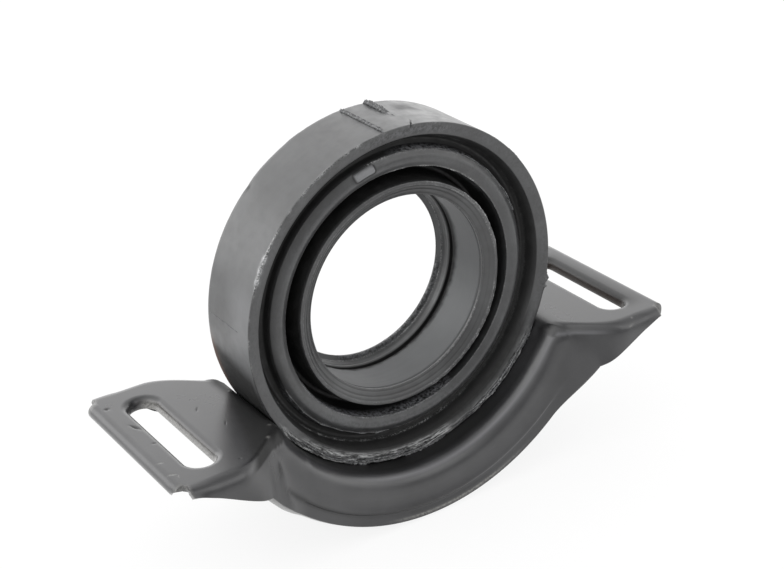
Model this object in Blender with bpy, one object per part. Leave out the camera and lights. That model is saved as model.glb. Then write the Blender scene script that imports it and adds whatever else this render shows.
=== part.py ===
# Driveshaft centre bearing support.
# A rubber ring with a bellows section sits in a pressed steel bracket and
# holds the smooth sleeve that a ball bearing is pushed into.
# The shaft axis runs along Y, the front face looks towards -Y and the two
# slotted ears reach out along X. Sizes are in millimetres.

import bmesh
import bpy
from math import acos, asin, cos, pi, radians, sin, tan
from mathutils import Vector

MM = 0.001

# Bearing seat
BORE_DIAMETER = 62.0
SLEEVE_LENGTH = 14.8
SLEEVE_WALL = 1.3
SLEEVE_CHAMFER = 0.3
SEAT_GAP = 0.3

# Rubber ring, with depths measured back from its front face
RING_DIAMETER = 107.8
RING_WIDTH = 23.6
RIM_WIDTH = 3.9
RIM_SLOPE = 1.0
OUTER_GROOVE_WIDTH = 5.0
OUTER_GROOVE_DEPTH = 6.6
OUTER_GROOVE_DRAFT = 1.4
OUTER_GROOVE_CORNER = 1.0
RIDGE_WIDTH = 5.1
RIDGE_DEPTH = 3.4
RIDGE_CROWN = 1.0
RIDGE_DRAFT = 0.9
INNER_GROOVE_DEPTH = 12.0
INNER_GROOVE_FLOOR = 1.6
HUB_DEPTH = 2.3
HUB_WALL = 4.5
HUB_BEVEL = 1.8
HUB_EDGE = 0.9
HUB_DRAFT = 0.2
MEMBRANE = 4.0
FRONT_LIP = 0.7
REAR_GROOVE = 1.4
REAR_LIP_LENGTH = 4.4
REAR_LIP_CREST = 0.2
REAR_LIP_BEAD = 0.4
REAR_LIP_BEAD_AT = 3.2
REAR_LIP_REACH = 2.3
REAR_LIP_EDGE = 0.5
REAR_WALL = 5.0
REAR_WALL_DRAFT = 0.4
REAR_HUB_WALL = 1.0
REAR_GROOVE_RISE = 1.6
REAR_GROOVE_DRAFT = 0.6
REAR_GROOVE_CORNER = 1.2

# Fillets of the ring
SHARP_EDGE = 0.4
SOFT_EDGE = 0.5
GROOVE_FILLET = 1.0
CROWN_FILLET = 3.0
DEEP_FILLET = 0.8
REAR_FILLET = 1.4
HOLLOW_FILLET = 2.0

# Pressed sheet bracket
SHEET = 2.0
WEB_WIDTH = 32.0
SADDLE_BEND = 6.2
FLANGE_HEIGHT = 14.5
CREASE_HEIGHT = 10.8
CREASE_WIDTH = 0.6
CREASE_STEP = 0.35
CREASE_OUT = 1.4
LIP_OUT = 2.1
LIP_SPREAD = 1.2
EAR_DROP = 22.9
EAR_LENGTH = 36.4
EAR_FLAT_WIDTH = 56.2
EAR_BEND = 4.0
EAR_FLANK = 18.4
FOLD_RADIUS = 4.1
SIDE_ROLL = 2.6
SIDE_TURN = 160.0
CORNER_CUT = 4.4
CORNER_STEP = 1.6
CORNER_FLANGE = 2.2
FOLD_TAIL = 0.6
SKIRT_HEIGHT = 12.4
SKIRT_KINK = 8.6
SKIRT_EASE = 0.55
SLOT_INSET = 13.0
SLOT_LAND = 3.0
SLOT_WIDTH = 8.8
SLOT_LENGTH = 43.0
COLLAR_RADIUS = 1.6
COLLAR_HEIGHT = 3.4

# Facets
RING_STEPS = 54
FILLET_STEPS = 2
FINE_FILLET = 1.45
SADDLE_STEPS = 10
BEND_STEPS = 4
WEB_STEPS = 2
NECK_STEPS = 5
SKIRT_STEPS = 7
SIDE_STEPS = 3
COLLAR_STEPS = 3
ROLL_STEPS = 5
SMOOTH_ANGLE = 32.0
QUARTER_ARC = 0.5523
SHORTEST_ARM = 0.2
FILLET_SHARE = 0.48
SMALLEST_FILLET = 0.05
NECK_SPREAD = 1.6
NECK_TAIL = 4.0
LIP_LAG = 0.14
WALL_RUN = 3.5
EDGE_RUN = 8.0

# Fits worked out from the sizes above
BORE = BORE_DIAMETER / 2
RING = RING_DIAMETER / 2
POCKET = BORE + SLEEVE_WALL + SEAT_GAP
WEB_RADIUS = RING + SEAT_GAP
LIP_RADIUS = WEB_RADIUS + FLANGE_HEIGHT
EAR_HALF = EAR_FLAT_WIDTH / 2
NECK_ANGLE = acos((EAR_DROP + EAR_BEND) / (WEB_RADIUS + EAR_BEND))
NECK_END = (WEB_RADIUS + EAR_BEND) * sin(NECK_ANGLE)
NECK_CORNER = (WEB_RADIUS + SADDLE_BEND) * sin(NECK_ANGLE)
EAR_EDGE = NECK_END + EAR_LENGTH
EAR_WIDENS_AT = NECK_END + EAR_FLANK
SKIRT_END = NECK_END + SKIRT_KINK
SLOT_X = EAR_EDGE - SLOT_INSET


def material(name, colour, roughness, metallic):
    made = bpy.data.materials.new(name)
    made.use_nodes = True
    shader = made.node_tree.nodes["Principled BSDF"]
    shader.inputs["Base Color"].default_value = (*colour, 1.0)
    shader.inputs["Roughness"].default_value = roughness
    shader.inputs["Metallic"].default_value = metallic
    made.diffuse_color = (*colour, 1.0)
    return made


def finish(mesh, name, surface, parent):
    data = bpy.data.meshes.new(name)
    bmesh.ops.scale(mesh, vec=(MM, MM, MM), verts=mesh.verts)
    bmesh.ops.recalc_face_normals(mesh, faces=mesh.faces)
    mesh.to_mesh(data)
    mesh.free()
    data.materials.append(surface)
    data.shade_smooth()
    data.set_sharp_from_angle(angle=radians(SMOOTH_ANGLE))
    thing = bpy.data.objects.new(name, data)
    bpy.context.collection.objects.link(thing)
    thing.parent = parent
    return thing


def rounded(corners):
    # Each corner is (radius from the axis, depth, fillet radius).
    outline = []
    for index, (across, depth, fillet) in enumerate(corners):
        here = Vector((across, depth))
        before = Vector(corners[index - 1][:2]) - here
        after = Vector(corners[(index + 1) % len(corners)][:2]) - here
        half = before.angle(after) / 2
        reach = fillet / tan(half) if fillet else 0.0
        reach = min(reach, before.length * FILLET_SHARE, after.length * FILLET_SHARE)
        if reach < SMALLEST_FILLET:
            outline.append(here)
            continue
        start = here + before.normalized() * reach
        end = here + after.normalized() * reach
        steps = FILLET_STEPS if fillet > FINE_FILLET else 1
        for step in range(steps + 1):
            t = step / steps
            outline.append(start.lerp(here, t).lerp(here.lerp(end, t), t))
    return outline


def turned(corners):
    # A closed section turned about the shaft axis; depth 0 is the front face.
    mesh = bmesh.new()
    section = [mesh.verts.new((p.x, p.y - RING_WIDTH / 2, 0)) for p in rounded(corners)]
    edges = [mesh.edges.new((section[i - 1], section[i])) for i in range(len(section))]
    bmesh.ops.spin(mesh, geom=section + edges, cent=(0, 0, 0), axis=(0, 1, 0),
                   angle=2 * pi, steps=RING_STEPS, use_merge=True)
    return mesh


def rubber_ring(surface, parent):
    groove_top = RING - RIM_WIDTH
    ridge_outer = groove_top - OUTER_GROOVE_WIDTH
    ridge_inner = ridge_outer - RIDGE_WIDTH
    ridge_middle = (ridge_outer + ridge_inner) / 2
    hub_outer = BORE + HUB_WALL
    groove_middle = (ridge_inner + hub_outer) / 2
    seat_front = HUB_DEPTH + HUB_BEVEL + FRONT_LIP
    seat_back = seat_front + SEAT_GAP + SLEEVE_LENGTH + REAR_GROOVE
    lip_end = seat_back + REAR_LIP_LENGTH
    lip_crest = BORE - REAR_LIP_CREST
    lip_hole = BORE - REAR_LIP_REACH
    hub_back = INNER_GROOVE_DEPTH + MEMBRANE
    hub_rear = hub_outer + REAR_HUB_WALL
    outer_back = OUTER_GROOVE_DEPTH + MEMBRANE
    front = [
        (RING, 0.0, SOFT_EDGE),
        (groove_top, RIM_SLOPE, SOFT_EDGE),
        (groove_top - OUTER_GROOVE_DRAFT, OUTER_GROOVE_DEPTH - OUTER_GROOVE_CORNER, GROOVE_FILLET),
        (groove_top - OUTER_GROOVE_DRAFT - OUTER_GROOVE_CORNER, OUTER_GROOVE_DEPTH, GROOVE_FILLET),
        (ridge_outer + RIDGE_DRAFT, OUTER_GROOVE_DEPTH - OUTER_GROOVE_CORNER, GROOVE_FILLET),
        (ridge_outer, RIDGE_DEPTH, 0.0),
        (ridge_middle, RIDGE_DEPTH - RIDGE_CROWN, CROWN_FILLET),
        (ridge_inner, RIDGE_DEPTH, 0.0),
        (groove_middle + INNER_GROOVE_FLOOR / 2, INNER_GROOVE_DEPTH, DEEP_FILLET),
        (groove_middle - INNER_GROOVE_FLOOR / 2, INNER_GROOVE_DEPTH, DEEP_FILLET),
        (hub_outer, HUB_DEPTH, SHARP_EDGE),
        (hub_outer - HUB_EDGE, HUB_DEPTH - HUB_DRAFT, SOFT_EDGE),
        (BORE, HUB_DEPTH + HUB_BEVEL, 0.0),
    ]
    seat = [
        (BORE, seat_front, 0.0),
        (POCKET, seat_front, 0.0),
        (POCKET, seat_back, DEEP_FILLET),
        (lip_crest, seat_back, SOFT_EDGE),
        (lip_crest - REAR_LIP_BEAD, seat_back + REAR_LIP_BEAD_AT, SHARP_EDGE),
        (lip_hole, lip_end - REAR_LIP_EDGE, 0.0),
        (lip_hole, lip_end, 0.0),
    ]
    rear = [
        (hub_rear, lip_end, REAR_FILLET),
        (hub_rear + REAR_GROOVE_DRAFT, hub_back, REAR_FILLET),
        (ridge_inner, hub_back, HOLLOW_FILLET),
        (ridge_middle, RIDGE_DEPTH + MEMBRANE + REAR_GROOVE_RISE, REAR_FILLET),
        (ridge_outer + REAR_GROOVE_DRAFT, outer_back - REAR_GROOVE_DRAFT, REAR_FILLET),
        (RING - REAR_WALL - REAR_WALL_DRAFT, outer_back + REAR_GROOVE_CORNER, HOLLOW_FILLET),
        (RING - REAR_WALL + REAR_WALL_DRAFT, RING_WIDTH, SOFT_EDGE),
        (RING, RING_WIDTH, SOFT_EDGE),
    ]
    return finish(turned(front + seat + rear), "rubber_ring", surface, parent)


def bearing_sleeve(surface, parent):
    front = HUB_DEPTH + HUB_BEVEL + FRONT_LIP + SEAT_GAP
    back = front + SLEEVE_LENGTH
    outer = BORE + SLEEVE_WALL
    corners = [
        (BORE + SLEEVE_CHAMFER, front, 0.0),
        (BORE, front + SLEEVE_CHAMFER, 0.0),
        (BORE, back - SLEEVE_CHAMFER, 0.0),
        (BORE + SLEEVE_CHAMFER, back, 0.0),
        (outer, back, 0.0),
        (outer, front, 0.0),
    ]
    return finish(turned(corners), "bearing_sleeve", surface, parent)


def bend(start, along, end, down, steps):
    # A quarter bend that leaves start along one face and lands on end along the other.
    span = end - start
    first = start + along * max(span.dot(along), SHORTEST_ARM) * QUARTER_ARC
    last = end - down * max(span.dot(down), SHORTEST_ARM) * QUARTER_ARC
    points = []
    for step in range(1, steps + 1):
        t = step / steps
        s = 1 - t
        points.append(s ** 3 * start + 3 * s * s * t * first + 3 * s * t * t * last + t ** 3 * end)
    return points


def eased(t):
    t = min(max(t, 0.0), 1.0)
    return t * t * (3 - 2 * t)


def ear_half_width(x):
    # Half the flat width: the web at the neck, widening to the full ear.
    t = min(max((x - NECK_END) / (EAR_WIDENS_AT - NECK_END), 0.0), 1.0)
    return WEB_WIDTH / 2 + (EAR_HALF - WEB_WIDTH / 2) * sin(t * pi / 2)


def ear_outward(x):
    # Level direction square to the ear's front edge.
    step = 0.01
    slope = (ear_half_width(x + step) - ear_half_width(x - step)) / (2 * step)
    return Vector((-slope, -1, 0)).normalized()


def wall_offset(x):
    # How far the top of the front wall stands from the middle plane, from saddle to ear.
    near = WEB_WIDTH / 2 + SADDLE_BEND
    start = NECK_CORNER - WALL_RUN
    return near + (EAR_HALF + FOLD_RADIUS - near) * eased((x - start) / (EAR_WIDENS_AT - start))


def edge_offset(x):
    # The same for the free lower edge, which moves out a little earlier.
    near = WEB_WIDTH / 2 + SADDLE_BEND + LIP_OUT
    start = NECK_CORNER - EDGE_RUN
    end = EAR_WIDENS_AT - WALL_RUN
    return near + (EAR_HALF + FOLD_RADIUS - near) * eased((x - start) / (end - start))


def lip_point(angle):
    # A point on the free edge of the saddle flange.
    radius = LIP_RADIUS + LIP_SPREAD * min(angle / asin(SKIRT_END / (LIP_RADIUS + LIP_SPREAD)), 1.0) ** 4
    x = radius * sin(angle)
    return Vector((x, -edge_offset(x), -radius * cos(angle)))


def skirt_drop(x):
    # How far the skirt reaches below the ear, from its inner end to the corner cut.
    corner = EAR_EDGE - SIDE_ROLL - CORNER_CUT
    t = (x - SKIRT_END) / (corner - SKIRT_END)
    shape = 1 - eased(t) * SKIRT_EASE - t * (1 - SKIRT_EASE)
    return CORNER_FLANGE + (SKIRT_HEIGHT - CORNER_FLANGE) * max(shape, 0.0)


def wall(start, end, crease):
    # The face from the bend to the free edge: hollowed out to a pressed crease, then a lip.
    height = FLANGE_HEIGHT - SADDLE_BEND
    top = (CREASE_HEIGHT - SADDLE_BEND) / height
    under = top + CREASE_WIDTH / height
    out = end.y - start.y
    stops = [
        (top / 2, (-CREASE_OUT / 3 - out * top / 2) * crease),
        (top, (-CREASE_OUT - out * top) * crease),
        (under, (CREASE_STEP - CREASE_OUT - out * under) * crease),
        (1.0, 0.0),
    ]
    return [start.lerp(end, t) + Vector((0, shift, 0)) for t, shift in stops]


def saddle_row(angle):
    radial = Vector((sin(angle), 0, -cos(angle)))
    middle = radial * WEB_RADIUS
    edge = middle + Vector((0, -WEB_WIDTH / 2, 0))
    top = radial * (WEB_RADIUS + SADDLE_BEND)
    top.y = -wall_offset(top.x)
    share = angle / NECK_ANGLE
    lip = lip_point(angle * (1 - LIP_LAG * share ** 2))
    row = [middle.lerp(edge, step / WEB_STEPS) for step in range(WEB_STEPS + 1)]
    row += bend(edge, Vector((0, -1, 0)), top, radial, BEND_STEPS)
    row += wall(top, lip, 1 - eased(4 * share - 3))
    return row


def skirt_points(x):
    # Bend and wall of the ear's front edge, from the neck to the corner cut.
    span = EAR_WIDENS_AT - NECK_TAIL - NECK_END
    left = max(1 - (x - NECK_END) / span, 0.0)
    edge = Vector((x, -ear_half_width(x), -EAR_DROP))
    out = ear_outward(x)
    drop = skirt_drop(x)
    turn = acos(max(1 - (drop - FOLD_TAIL) / FOLD_RADIUS, 0.0))
    top = edge + out * FOLD_RADIUS * sin(turn)
    top.x = x + (NECK_CORNER + NECK_SPREAD - NECK_END) * left ** 2
    if turn > 1.5:
        top.y = -wall_offset(top.x)
    top.z = -EAR_DROP - FOLD_RADIUS * (1 - cos(turn))
    neck_lip = lip_point(NECK_ANGLE * (1 - LIP_LAG)).x + NECK_SPREAD
    end_x = x + (neck_lip - NECK_END) * left ** 1.5
    if end_x < SKIRT_END:
        end = lip_point(asin(min(end_x / (LIP_RADIUS + LIP_SPREAD), 1.0)))
    elif turn > 1.5:
        end = Vector((end_x, -edge_offset(end_x), -EAR_DROP - drop))
    else:
        end = top + out * cos(turn) * FOLD_TAIL / sin(turn)
        end.z = -EAR_DROP - drop
    down = (end - top).normalized()
    return bend(edge, out, top, down, BEND_STEPS) + wall(top, end, 0.0)


def neck_row(angle):
    # Rows of the bend that lifts the saddle web into the level ear.
    centre = Vector(((WEB_RADIUS + EAR_BEND) * sin(NECK_ANGLE), 0, -EAR_DROP - EAR_BEND))
    middle = centre + Vector((-sin(angle), 0, cos(angle))) * EAR_BEND
    edge = middle + Vector((0, -WEB_WIDTH / 2, 0))
    share = 1 - angle / NECK_ANGLE
    saddle = saddle_row(NECK_ANGLE)
    ear = skirt_points(NECK_END)
    row = [middle.lerp(edge, step / WEB_STEPS) for step in range(WEB_STEPS + 1)]
    top = saddle[WEB_STEPS + BEND_STEPS].lerp(ear[BEND_STEPS - 1], share)
    end = saddle[-1].lerp(ear[-1], share)
    out = Vector((0, -1, 0)).lerp(ear_outward(NECK_END), share ** 2).normalized()
    down = (end - top).normalized()
    return row + bend(edge, out, top, down, BEND_STEPS) + wall(top, end, 0.0)


def ear_row(x):
    middle = Vector((x, 0, -EAR_DROP))
    edge = Vector((x, -ear_half_width(x), -EAR_DROP))
    row = [middle.lerp(edge, step / WEB_STEPS) for step in range(WEB_STEPS + 1)]
    return row + skirt_points(x)


def add_rows(mesh, rows):
    grid = [[mesh.verts.new(point) for point in row] for row in rows]
    for first, second in zip(grid, grid[1:]):
        for i in range(len(first) - 1):
            mesh.faces.new((first[i], first[i + 1], second[i + 1], second[i]))


def ear_patch(mesh, inner_x):
    # The level part round the slot, its drawn-down collar and the rolled outer edge.
    side_x = EAR_EDGE - SIDE_ROLL
    corner_x = side_x - CORNER_CUT
    corner_y = -EAR_HALF + CORNER_STEP
    front_xs = [inner_x + (corner_x - inner_x) * i / SKIRT_STEPS for i in range(SKIRT_STEPS + 1)]
    outer = [Vector((inner_x, -ear_half_width(inner_x) * i / WEB_STEPS, -EAR_DROP))
             for i in range(WEB_STEPS)]
    outer += [Vector((x, -ear_half_width(x), -EAR_DROP)) for x in front_xs]
    side = [Vector((side_x, corner_y * (1 - i / SIDE_STEPS), -EAR_DROP))
            for i in range(SIDE_STEPS + 1)]
    outer += side

    reach = SLOT_WIDTH / 2 + COLLAR_RADIUS
    straight = (SLOT_LENGTH - SLOT_WIDTH) / 2
    round_steps = SKIRT_STEPS + 1
    slot = []
    for i in range(WEB_STEPS):
        slot.append((Vector((SLOT_X - reach, -straight * i / WEB_STEPS, -EAR_DROP)), Vector((1, 0, 0))))
    for i in range(round_steps + 1):
        turn = pi + pi * i / round_steps
        into = Vector((-cos(turn), -sin(turn), 0))
        slot.append((Vector((SLOT_X, -straight, -EAR_DROP)) - into * reach, into))
    for i in range(1, SIDE_STEPS + 1):
        y = -straight * (1 - i / SIDE_STEPS)
        slot.append((Vector((SLOT_X + reach, y, -EAR_DROP)), Vector((-1, 0, 0))))

    add_rows(mesh, [[o, s[0]] for o, s in zip(outer, slot)])
    collar = []
    for point, into in slot:
        row = [point]
        low = point + into * COLLAR_RADIUS + Vector((0, 0, -COLLAR_RADIUS))
        row += bend(point, into, low, Vector((0, 0, -1)), COLLAR_STEPS)
        row.append(point + into * COLLAR_RADIUS + Vector((0, 0, -COLLAR_HEIGHT)))
        collar.append(row)
    add_rows(mesh, collar)
    roll = []
    for point in side:
        centre = point + Vector((0, 0, -SIDE_ROLL))
        turns = [radians(SIDE_TURN) * i / ROLL_STEPS for i in range(ROLL_STEPS + 1)]
        roll.append([centre + Vector((sin(turn), 0, cos(turn))) * SIDE_ROLL for turn in turns])
    add_rows(mesh, roll)
    add_rows(mesh, [[Vector((x, -ear_half_width(x), -EAR_DROP))] + skirt_points(x) for x in front_xs])


def bracket(surface, parent):
    # One quarter of the upper face of the sheet, mirrored twice and thickened downwards.
    mesh = bmesh.new()
    rows = [saddle_row(NECK_ANGLE * i / SADDLE_STEPS) for i in range(SADDLE_STEPS + 1)]
    rows += [neck_row(NECK_ANGLE * (1 - i / BEND_STEPS)) for i in range(1, BEND_STEPS)]
    patch_x = SLOT_X - SLOT_WIDTH / 2 - COLLAR_RADIUS - SLOT_LAND
    rows += [ear_row(NECK_END + (patch_x - NECK_END) * i / NECK_STEPS) for i in range(NECK_STEPS + 1)]
    add_rows(mesh, rows)
    ear_patch(mesh, patch_x)
    bmesh.ops.remove_doubles(mesh, verts=mesh.verts, dist=0.01)
    thing = finish(mesh, "bracket", surface, parent)
    mirror = thing.modifiers.new("both_sides", "MIRROR")
    mirror.use_axis = (True, True, False)
    mirror.merge_threshold = 0.00002
    thick = thing.modifiers.new("sheet", "SOLIDIFY")
    thick.thickness = SHEET * MM
    thick.offset = -1.0
    thick.use_even_offset = True
    return thing


def lowest_point(thing):
    seen = thing.evaluated_get(bpy.context.evaluated_depsgraph_get())
    mesh = seen.to_mesh()
    lowest = min(vertex.co.z for vertex in mesh.vertices)
    seen.to_mesh_clear()
    return lowest


def build():
    for old in list(bpy.data.objects):
        bpy.data.objects.remove(old, do_unlink=True)
    axis = bpy.data.objects.new("shaft_axis", None)
    bpy.context.collection.objects.link(axis)
    paint = material("black_painted_steel", (0.055, 0.055, 0.06), 0.45, 0.0)
    rubber = material("black_rubber", (0.05, 0.05, 0.052), 0.6, 0.0)
    sleeve = material("dark_sleeve_steel", (0.12, 0.12, 0.125), 0.4, 0.6)
    cradle = bracket(paint, axis)
    rubber_ring(rubber, axis)
    bearing_sleeve(sleeve, axis)
    bpy.context.view_layer.update()
    axis.location.z = -lowest_point(cradle)


build()
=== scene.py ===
# Driveshaft centre bearing support: a moulded rubber bellows ring bonded into a
# pressed steel cradle, with the smooth steel sleeve that the bearing goes into.
# Lengths in the dictionaries are millimetres, measured from the shaft axis and
# the middle plane of the ring; the front of the ring looks towards -Y.
from functools import partial
from math import acos, asin, atan2, cos, exp, hypot, pi, radians, sin, tan
from types import SimpleNamespace

import bmesh
import bpy
import numpy as np
from mathutils import Matrix, Vector, noise


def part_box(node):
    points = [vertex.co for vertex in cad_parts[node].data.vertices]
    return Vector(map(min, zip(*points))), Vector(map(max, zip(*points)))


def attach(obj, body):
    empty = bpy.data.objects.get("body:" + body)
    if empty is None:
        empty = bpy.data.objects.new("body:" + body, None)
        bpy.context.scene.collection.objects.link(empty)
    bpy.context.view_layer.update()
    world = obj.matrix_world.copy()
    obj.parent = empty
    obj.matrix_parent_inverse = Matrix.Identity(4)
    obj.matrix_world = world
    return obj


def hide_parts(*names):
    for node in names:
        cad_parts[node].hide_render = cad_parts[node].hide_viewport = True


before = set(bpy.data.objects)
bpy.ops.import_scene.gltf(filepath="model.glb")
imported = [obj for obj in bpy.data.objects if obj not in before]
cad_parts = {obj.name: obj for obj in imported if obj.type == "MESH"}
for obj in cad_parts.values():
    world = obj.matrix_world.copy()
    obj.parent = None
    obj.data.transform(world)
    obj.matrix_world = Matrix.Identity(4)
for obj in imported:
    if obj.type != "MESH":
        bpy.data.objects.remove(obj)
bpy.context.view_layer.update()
ringLow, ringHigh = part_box("rubber_ring")
axisHeight = (ringLow[2] + ringHigh[2]) / 2
mm = 0.001
print("frame loaded, shaft axis at %.2f mm" % (axisHeight / mm))


def linear(code):
    # sRGB hex to the linear colour that the shaders take
    parts = [int(code[i:i + 2], 16) / 255 for i in (1, 3, 5)]
    return tuple(p / 12.92 if p <= 0.04045 else ((p + 0.055) / 1.055) ** 2.4 for p in parts) + (1.0,)


def addNode(tree, kind, inputs=None, give=0, **settings):
    # adds a node and hands back an output; an input takes a value, a hex colour or an output
    made = tree.nodes.new("ShaderNode" + kind)
    for name, value in settings.items():
        setattr(made, name, value)
    for key, value in (inputs or {}).items():
        if isinstance(value, bpy.types.NodeSocket):
            tree.links.new(value, made.inputs[key])
        else:
            made.inputs[key].default_value = linear(value) if isinstance(value, str) else value
    return made.outputs[give] if made.outputs else None


def newMaterial(name):
    # a material with no nodes yet, and the call that adds one to it
    made = bpy.data.materials.new(name)
    made.use_nodes = True
    made.node_tree.nodes.clear()
    return made, partial(addNode, made.node_tree)


def readSurface(add, marks, grains):
    # the place on the piece, its vertex layers and the noises that a material is made from
    place = add("TexCoord", give="Object")
    mark = {key: add("Attribute", give="Fac", attribute_name=key) for key in marks}
    grain = {}
    for key, (size, detail, rough) in grains.items():
        inputs = {"Vector": place, "Scale": 1 / (size * mm), "Detail": detail, "Roughness": rough}
        grain[key] = add("TexNoise", inputs)
    return place, mark, grain


def unit(t):
    return min(max(t, 0.0), 1.0)


def eased(t):
    t = unit(t)
    return t * t * (3 - 2 * t)


def ramp(values, start, run):
    # 0 up to start, 1 from start + run on; a run below 0 falls instead
    return np.clip((values - start) / run, 0, 1)


def bell(values, width):
    return np.exp(-(values / width) ** 2)


def newObject(name, data):
    thing = bpy.data.objects.new(name, data)
    bpy.context.collection.objects.link(thing)
    return thing


def closeMesh(work, name):
    data = bpy.data.meshes.new(name)
    work.to_mesh(data)
    work.free()
    data.shade_smooth()
    return data


def newPiece(name, data, materials, node):
    data.transform(Matrix.Translation((0, 0, axisHeight)) @ Matrix.Scale(mm, 4))
    thing = newObject(name, data)
    for material in materials:
        data.materials.append(material)
    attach(thing, "root")
    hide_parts(node)
    return thing


photoCamera = {
    "azimuth": -33.4816, "elevation": 26.655, "roll": -2.32636,
    "place": (-236.449, -361.348, 216.588),    # from the axis, in mm
    "focal": 1606.08, "frameWidth": 784,       # both in pixels
    "sensor": 36, "nearest": 0.01, "furthest": 20,
}


def setCamera():
    p = photoCamera
    az, el, roll = (radians(p[key]) for key in ("azimuth", "elevation", "roll"))
    back = Vector((sin(az) * cos(el), -cos(az) * cos(el), sin(el)))
    across = (-back).cross(Vector((0, 0, 1))).normalized()
    up = back.cross(across)
    side = across * cos(roll) + up * sin(roll)
    top = up * cos(roll) - across * sin(roll)
    x, y, z = (value * mm for value in p["place"])
    data = bpy.data.cameras.new("photoCamera")
    data.sensor_width = p["sensor"]
    data.lens = p["focal"] / p["frameWidth"] * p["sensor"]
    data.clip_start = p["nearest"]
    data.clip_end = p["furthest"]
    thing = newObject("photoCamera", data)
    thing.matrix_world = Matrix(((side.x, top.x, back.x, x), (side.y, top.y, back.y, y),
                                 (side.z, top.z, back.z, z + axisHeight), (0, 0, 0, 1)))
    bpy.context.scene.camera = thing


setCamera()
print("camera set")


ringSizes = {
    "bore": 31.0, "sleeveWall": 1.3, "seatGap": 0.3, "sleeveLength": 14.8,
    "ring": 53.9, "width": 23.6, "rim": 3.9, "rimSlope": 1.0,
    "outerGroove": 5.0, "outerDepth": 6.6, "ridge": 5.1, "ridgeDepth": 3.4, "ridgeCrown": 1.6,
    "innerDepth": 12.0, "hubDepth": 2.3, "hubWall": 4.5, "hubBevel": 1.8, "membrane": 4.0,
    "frontLip": 0.7, "rearGroove": 1.4, "rearLip": 4.4, "rearWall": 5.0,
    "lipCrest": 30.8, "lipHole": 28.7,
    "turns": 206,          # steps round the ring, before the extra ones at the marks
    "longest": 3.0,        # longest step along the section
    "fineStep": 0.30,      # longest step where a flash line stands
}


def filletedOutline(corners, most=5):
    outline = []
    for index, (across, depth, fillet) in enumerate(corners):
        here = Vector((across, depth))
        before = Vector(corners[index - 1][:2]) - here
        after = Vector(corners[(index + 1) % len(corners)][:2]) - here
        half = before.angle(after) / 2
        reach = fillet / tan(half) if fillet else 0.0
        reach = min(reach, before.length * 0.48, after.length * 0.48)
        if reach < 0.05:
            outline.append(here)
            continue
        start = here + before.normalized() * reach
        end = here + after.normalized() * reach
        steps = 2 if fillet < 0.6 else 3 if fillet < 0.9 else most
        for step in range(steps + 1):
            t = step / steps
            outline.append(start.lerp(here, t).lerp(here.lerp(end, t), t))
    return outline


def ringCorners():
    s = SimpleNamespace(**ringSizes)
    grooveTop = s.ring - s.rim
    ridgeOuter = grooveTop - s.outerGroove
    ridgeInner = ridgeOuter - s.ridge
    ridgeMiddle = (ridgeOuter + ridgeInner) / 2
    hubOuter = s.bore + s.hubWall
    grooveMiddle = (ridgeInner + hubOuter) / 2
    pocket = s.bore + s.sleeveWall + s.seatGap
    seatFront = s.hubDepth + s.hubBevel + s.frontLip
    seatBack = seatFront + s.seatGap + s.sleeveLength + s.rearGroove
    lipEnd = seatBack + s.rearLip
    hubBack = s.innerDepth + s.membrane
    return [
        (s.ring, 0.0, 0.4),
        (grooveTop, s.rimSlope, 0.5),
        (grooveTop - 1.4, s.outerDepth - 1.2, 0.7),
        (grooveTop - 2.4, s.outerDepth, 1.0),
        (ridgeOuter + 0.9, s.outerDepth - 0.8, 1.0),
        (ridgeOuter, s.ridgeDepth, 0.8),
        (ridgeMiddle, s.ridgeDepth - s.ridgeCrown, 3.0),
        (ridgeInner, s.ridgeDepth, 0.3),
        (grooveMiddle + 0.8, s.innerDepth, 0.8),
        (grooveMiddle - 0.8, s.innerDepth, 0.8),
        (hubOuter, s.hubDepth, 0.35),
        (hubOuter - 0.9, s.hubDepth - 0.2, 0.5),
        (s.bore, s.hubDepth + s.hubBevel, 0.25),
        (s.bore, seatFront, 0.0),
        (pocket, seatFront, 0.0),
        (pocket, seatBack, 0.6),
        (s.lipCrest, seatBack, 0.5),
        (s.lipCrest + 0.15, seatBack + s.rearLip * 0.45, 1.2),
        (s.lipCrest - 0.5, seatBack + s.rearLip * 0.74, 0.3),
        (s.lipHole + 0.3, lipEnd - 0.5, 0.5),
        (s.lipHole, lipEnd, 0.25),
        (hubOuter + 1.0, lipEnd, 1.2),
        (hubOuter + 1.6, hubBack, 1.4),
        (ridgeInner, hubBack, 2.0),
        (ridgeMiddle, s.ridgeDepth + s.membrane + 1.6, 1.4),
        (ridgeOuter + 0.6, s.outerDepth + s.membrane - 0.6, 1.4),
        (s.ring - s.rearWall - 0.8, s.outerDepth + s.membrane + 1.2, 2.0),
        (s.ring - s.rearWall + 0.4, s.width, 0.5),
        (s.ring, s.width, 0.5),
    ]


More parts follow.
